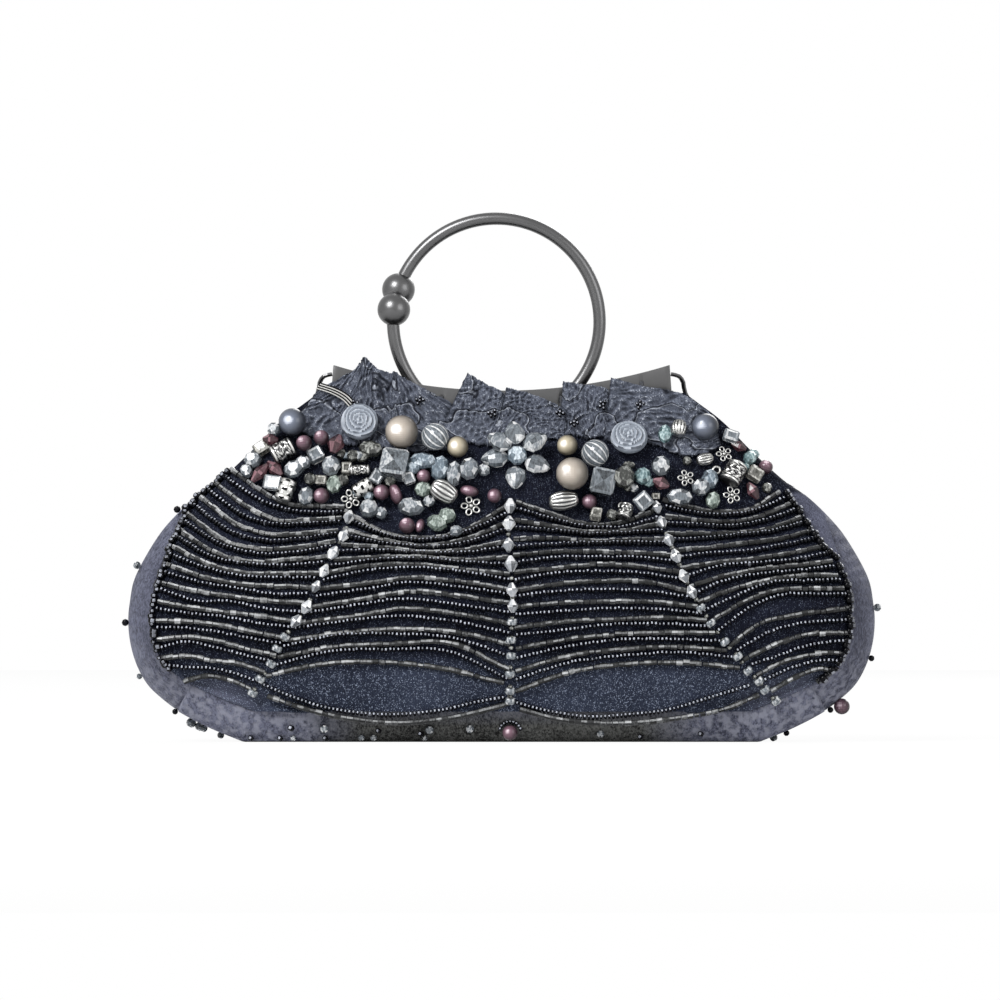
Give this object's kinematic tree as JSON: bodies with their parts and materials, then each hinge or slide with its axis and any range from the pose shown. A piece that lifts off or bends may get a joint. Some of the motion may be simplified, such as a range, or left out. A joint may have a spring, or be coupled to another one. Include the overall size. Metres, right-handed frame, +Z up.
{
  "type": "beaded evening clutch",
  "caption": "Soft evening clutch with a hinged two-plate frame, split ring handle with ball clasp, ruffle and beaded front panel.",
  "frame": {"origin": "on the resting plane, under the middle of the base", "axes": "+X to the bag's right in the front view, +Y to the rear, +Z up through the ring handle"},
  "size_m": [0.2796, 0.083, 0.1983],
  "materials": {
    "glitter_crepe": "charcoal navy crepe with a fine metallic thread",
    "gusset_satin": "grey metallic satin",
    "lining_satin": "plain dark satin",
    "base_board": "stiff fibre board",
    "gunmetal": "satin gunmetal plating",
    "rivet_steel": "plain steel",
    "hematite_beads": "dark hematite seed beads and silver-lined bugles",
    "clear_bicones": "clear faceted crystals",
    "ruffle_ribbon": "crinkled slate-blue ribbon with metallic threads",
    "champagne_pearl": "champagne pearl",
    "gold_pearl": "gold pearl",
    "blue_pearl": "blue-grey pearl",
    "plum_pearl": "plum pearl",
    "striped_crystal": "clear round glass with cut lines",
    "square_crystal": "clear cut square glass",
    "frosted_glass": "frosted glass rose",
    "antique_silver": "antique silver with dark recesses",
    "crystal_flower": "clear glass drops"
  },
  "bodies": {
    "bag": {"front_panel": "glitter_crepe", "rear_panel": "glitter_crepe", "front_fold": "glitter_crepe", "rear_fold": "glitter_crepe", "gusset": "gusset_satin", "base_board": "base_board", "lining_pouch": "lining_satin", "hinge_rivet_left": "rivet_steel", "hinge_rivet_right": "rivet_steel", "bead_rows_far_left": "hematite_beads", "bead_rows_left": "hematite_beads", "bead_rows_right": "hematite_beads", "bead_rows_far_right": "hematite_beads", "fold_bead_rows": "hematite_beads", "crystal_rib_left": "clear_bicones", "crystal_rib_middle": "clear_bicones", "crystal_rib_right": "clear_bicones", "border_beads_left": "hematite_beads", "border_beads_right": "hematite_beads", "scallop_beads_left": "hematite_beads", "scallop_beads_right": "hematite_beads", "base_pearl": "plum_pearl"},
    "front_half": {"front_frame_plate": "gunmetal", "front_wire_left": "gunmetal", "front_wire_right": "gunmetal", "front_handle_arc": "gunmetal", "front_clasp_ball": "gunmetal", "front_yoke": "glitter_crepe", "front_yoke_lining": "lining_satin", "ruffle_far_left": "ruffle_ribbon", "ruffle_left": "ruffle_ribbon", "ruffle_middle": "ruffle_ribbon", "ruffle_middle_right": "ruffle_ribbon", "ruffle_flat_tab": "ruffle_ribbon", "ruffle_right": "ruffle_ribbon", "champagne_pearl_left": "champagne_pearl", "champagne_pearl_right": "champagne_pearl", "gold_pearl_left": "gold_pearl", "gold_pearl_right": "gold_pearl", "blue_pearl_left": "blue_pearl", "blue_pearl_right": "blue_pearl", "striped_crystal_left": "striped_crystal", "striped_crystal_right": "striped_crystal", "glass_rose_left": "frosted_glass", "glass_rose_right": "frosted_glass", "square_crystal_left": "square_crystal", "square_crystal_right": "square_crystal", "scroll_barrel_left": "antique_silver", "scroll_barrel_right": "antique_silver", "fluted_oval_left": "antique_silver", "fluted_oval_right": "antique_silver", "crystal_flower": "crystal_flower"},
    "rear_half": {"rear_frame_plate": "gunmetal", "rear_wire_left": "gunmetal", "rear_wire_right": "gunmetal", "rear_handle_arc": "gunmetal", "rear_clasp_ball": "gunmetal", "rear_yoke": "glitter_crepe", "rear_yoke_lining": "lining_satin"}
  },
  "joints": [
    {"name": "front_opening", "type": "hinge", "parent": "bag", "child": "front_half", "pos_m": [0, 0, 0.09], "axis": [1, 0, 0], "range_deg": [0, 25], "deforming": ["front_fold", "fold_bead_rows"]},
    {"name": "rear_opening", "type": "hinge", "parent": "bag", "child": "rear_half", "pos_m": [0, 0, 0.09], "axis": [-1, 0, 0], "range_deg": [0, 25], "deforming": ["rear_fold"]}
  ],
  "couplings": [
    {"joint": "rear_opening", "follows": "front_opening", "ratio": 1}
  ]
}
